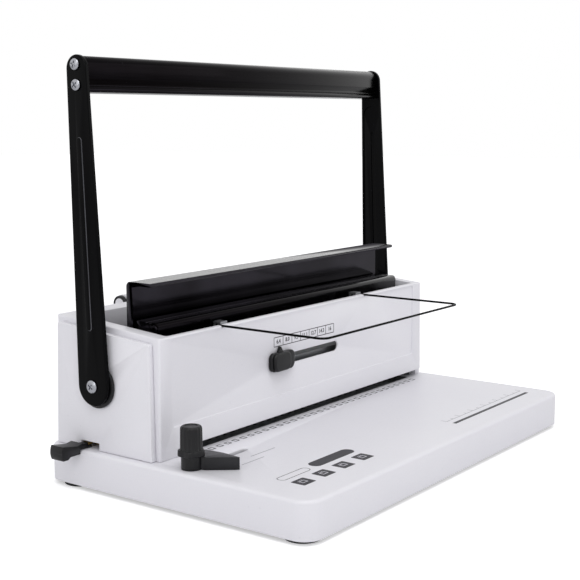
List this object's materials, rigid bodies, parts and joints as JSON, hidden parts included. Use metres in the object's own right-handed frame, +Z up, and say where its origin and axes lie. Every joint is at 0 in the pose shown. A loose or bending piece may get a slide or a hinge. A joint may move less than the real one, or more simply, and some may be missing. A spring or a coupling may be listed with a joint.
{
  "type": "wire binding machine",
  "caption": "Hand-lever punch and closer for double-loop wire binding, on a flat tray with a side guide, margin lever, size selector and folding wire support.",
  "frame": {"origin": "middle of the bounding box on the floor, under the four feet", "axes": "+Z up, -Y towards the operator, who feeds paper from there, +X to the operator's right"},
  "size_m": [0.3708, 0.2342, 0.2894],
  "materials": {
    "cover_white": "satin powder coat, white with a slight violet cast",
    "black_enamel": "satin black enamel",
    "black_anodised": "satin black anodised",
    "black_plastic": "moulded, fine matt texture",
    "foot_rubber": "matt",
    "bright_steel": "bright zinc plate",
    "dull_steel": "ground, lightly oiled",
    "brass": "plain turned and stamped"
  },
  "bodies": {
    "frame": {"base_tray": "cover_white", "base_plate": "dull_steel", "foot_front_left": "foot_rubber", "foot_front_right": "foot_rubber", "foot_rear_left": "foot_rubber", "foot_rear_right": "foot_rubber", "body_cover": "cover_white", "side_panel_left": "cover_white", "side_panel_right": "cover_white", "side_frame_left": "dull_steel", "side_frame_right": "dull_steel", "die_plate": "dull_steel", "punch_guide": "dull_steel", "anvil_rail": "black_anodised", "rail_screw_left": "black_anodised", "rail_screw_right": "black_anodised", "shaft_bush_left": "brass", "shaft_bush_right": "brass", "wire_clip_left": "dull_steel", "wire_clip_right": "dull_steel", "carry_bar": "cover_white", "carry_cap_left": "black_plastic", "carry_cap_right": "black_plastic", "carry_post_left": "cover_white", "carry_post_right": "cover_white", "rocker_stud": "brass"},
    "handle": {"arm_left": "black_enamel", "arm_right": "black_enamel", "handle_bar": "black_anodised", "rivet_high_left": "bright_steel", "rivet_high_right": "bright_steel", "rivet_low_left": "bright_steel", "rivet_low_right": "bright_steel", "pivot_bolt_left": "bright_steel", "pivot_bolt_right": "bright_steel", "boss_disc_left": "black_plastic", "boss_disc_right": "black_plastic", "main_shaft": "bright_steel", "drive_gear_left": "dull_steel", "drive_gear_right": "dull_steel"},
    "punch": {"punch_bar": "dull_steel", "punch_rack_left": "dull_steel", "punch_rack_right": "dull_steel", "return_spring_left": "bright_steel", "return_spring_right": "bright_steel"},
    "press": {"press_plate": "black_anodised"},
    "selector": {"selector_knob": "black_plastic", "selector_slider": "brass"},
    "support": {"wire_support": "black_enamel"},
    "margin": {"margin_lever": "black_plastic", "margin_arm": "brass"},
    "rocker": {"stop_rocker": "brass"},
    "stop": {"paper_stop": "dull_steel"},
    "guide": {"edge_guide": "black_plastic", "clamp_nut": "dull_steel"},
    "clamp": {"clamp_knob": "black_plastic"},
    "drawer": {"chip_drawer": "black_plastic"}
  },
  "joints": [
    {"name": "handle_swing", "type": "hinge", "parent": "frame", "child": "handle", "pos_m": [0.00685, 0.05935, 0.0735], "axis": [1, 0, 0], "range_deg": [0, 90]},
    {"name": "punch_slide", "type": "slide", "parent": "frame", "child": "punch", "axis": [0, 0, -1], "range_m": [0, 0.0142], "stiffness_N_per_m": 2400, "springref_m": -0.006, "deforming": ["return_spring_left", "return_spring_right"]},
    {"name": "press_slide", "type": "slide", "parent": "frame", "child": "press", "axis": [0, 0, -1], "range_m": [0, 0.0142]},
    {"name": "selector_slide", "type": "slide", "parent": "frame", "child": "selector", "axis": [1, 0, 0], "range_m": [0, 0.0634]},
    {"name": "support_swing", "type": "hinge", "parent": "frame", "child": "support", "pos_m": [0.00685, 0.0156, 0.1087], "axis": [-1, 0, 0], "range_deg": [0, 90]},
    {"name": "margin_slide", "type": "slide", "parent": "frame", "child": "margin", "axis": [0, -1, 0], "range_m": [0, 0.0108]},
    {"name": "rocker_turn", "type": "hinge", "parent": "frame", "child": "rocker", "pos_m": [-0.12515, 0.0691, 0.0283], "axis": [0, 0, 1], "range_deg": [0, 26.1]},
    {"name": "stop_slide", "type": "slide", "parent": "frame", "child": "stop", "axis": [0, 1, 0], "range_m": [0, 0.0037]},
    {"name": "guide_slide", "type": "slide", "parent": "frame", "child": "guide", "axis": [1, 0, 0], "range_m": [0, 0.0535]},
    {"name": "clamp_turn", "type": "hinge", "parent": "guide", "child": "clamp", "pos_m": [-0.15555, -0.01575, 0.028], "axis": [0, 0, 1], "range_deg": [0, 180]},
    {"name": "drawer_slide", "type": "slide", "parent": "frame", "child": "drawer", "axis": [1, 0, 0], "range_m": [0, 0.25]}
  ],
  "couplings": [
    {"joint": "punch_slide", "follows": "handle_swing", "m_per_rad": 0.009},
    {"joint": "press_slide", "follows": "handle_swing", "m_per_rad": 0.009},
    {"joint": "rocker_turn", "follows": "margin_slide", "rad_per_m": 42.017},
    {"joint": "stop_slide", "follows": "margin_slide", "ratio": 0.3333}
  ]
}
